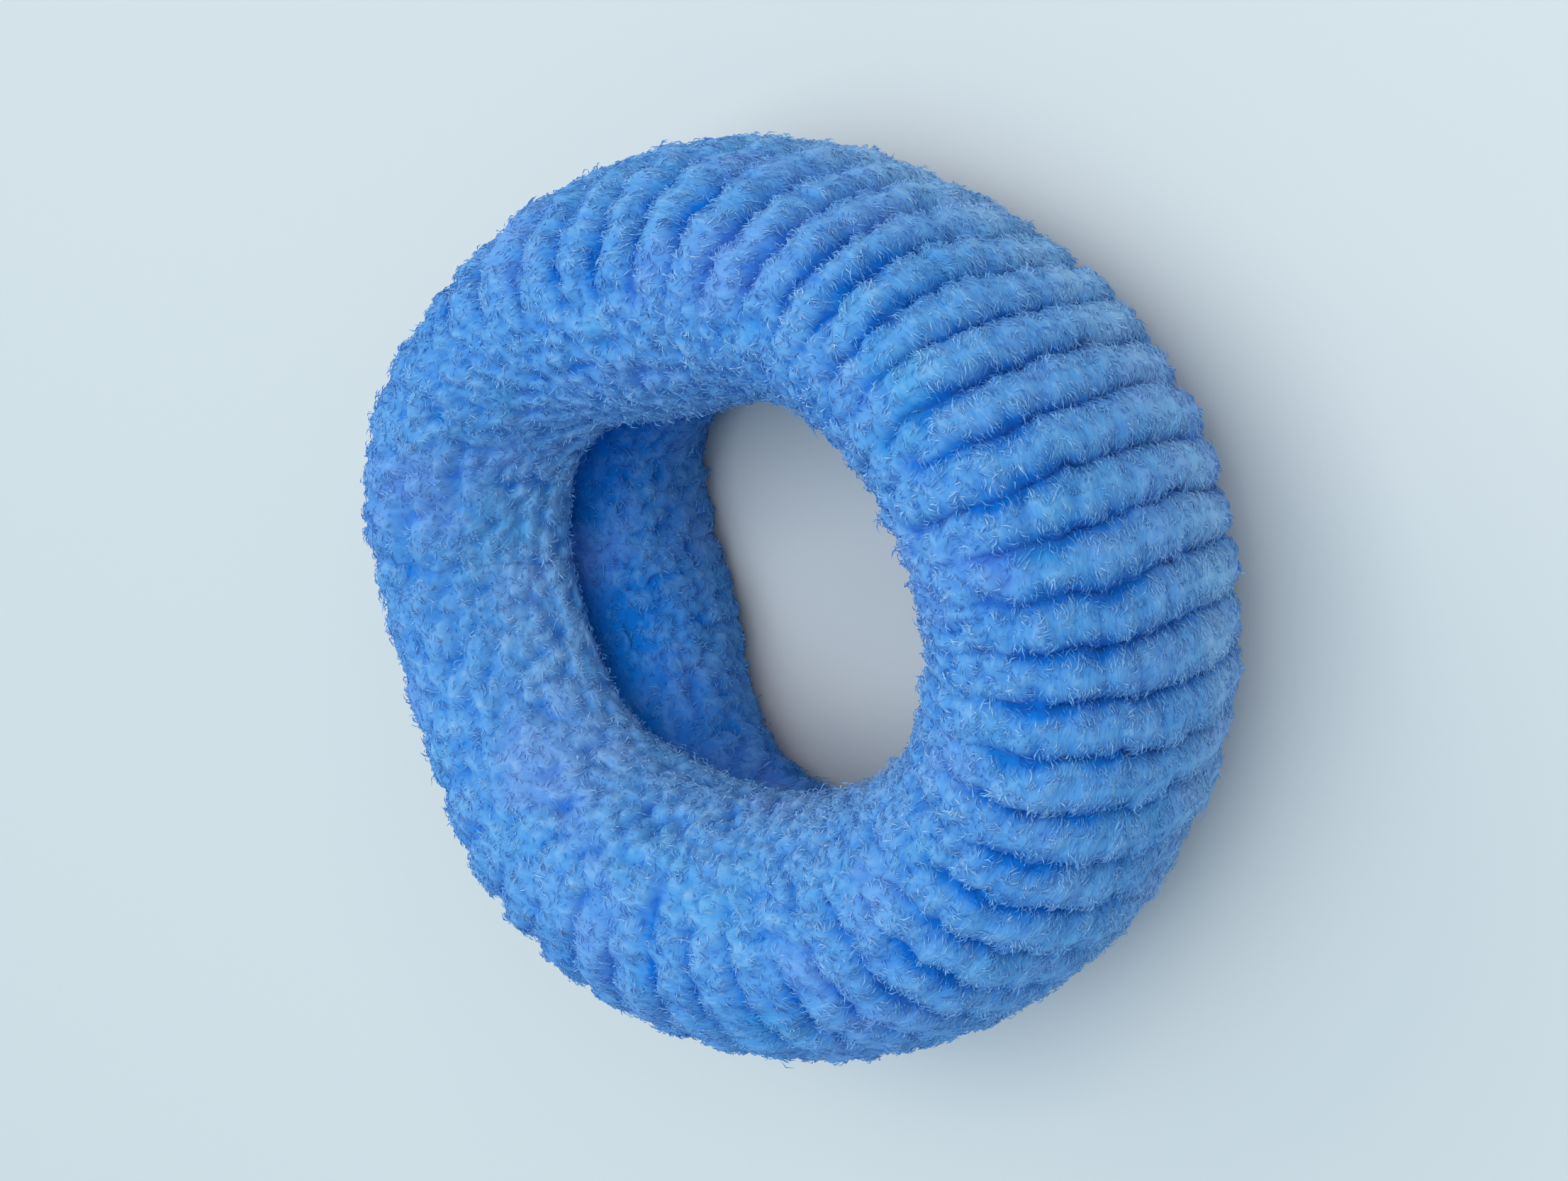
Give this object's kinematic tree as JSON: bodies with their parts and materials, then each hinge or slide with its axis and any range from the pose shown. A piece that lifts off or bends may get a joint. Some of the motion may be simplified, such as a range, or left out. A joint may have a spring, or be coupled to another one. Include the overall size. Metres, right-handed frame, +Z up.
{
  "type": "elastic hair tie",
  "caption": "Thick seamless elastic hair tie: a padded ring of ribbed plush knit with rolled rims, a crease round its inner side and an open middle for the hair.",
  "frame": {"origin": "on the surface that the ring lies on, under the centre of its bounding box", "axes": "+Z up along the ring's axis, through the hole; +X towards the side where the ribs lie closest, -X towards the side whose upper rim leans outward"},
  "size_m": [0.0466, 0.0472, 0.0204],
  "materials": {
    "blue_plush_knit": "ribbed plush knit with a short fuzzy pile"
  },
  "bodies": {
    "root": {"knit_ring": "blue_plush_knit"}
  },
  "joints": []
}
